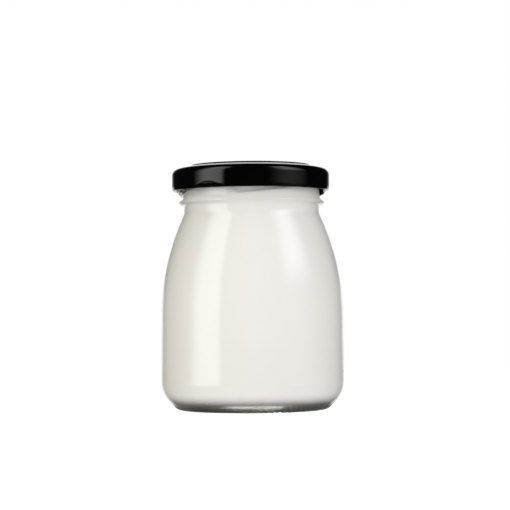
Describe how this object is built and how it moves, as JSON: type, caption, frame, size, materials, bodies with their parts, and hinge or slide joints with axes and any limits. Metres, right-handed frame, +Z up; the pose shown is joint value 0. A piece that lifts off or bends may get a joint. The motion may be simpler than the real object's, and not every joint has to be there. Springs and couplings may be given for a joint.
{
  "type": "glass food jar with twist-off lid, filled with cream",
  "caption": "Small round-shouldered glass jar, shut with a gloss black metal twist-off lid and full of thick white cream.",
  "frame": {"origin": "centre of the jar's footprint, on the plane it stands on", "axes": "+Z up along the jar's axis, -Y towards the picture's camera"},
  "size_m": [0.0708, 0.0708, 0.0944],
  "materials": {
    "clear_glass": "clear moulded glass, polished",
    "black_lacquer": "gloss black lacquer on tinplate",
    "white_cream": "thick white cream, seen through the glass"
  },
  "bodies": {
    "root": {"glass_jar": "clear_glass", "lid": "black_lacquer", "contents": "white_cream"}
  },
  "joints": []
}
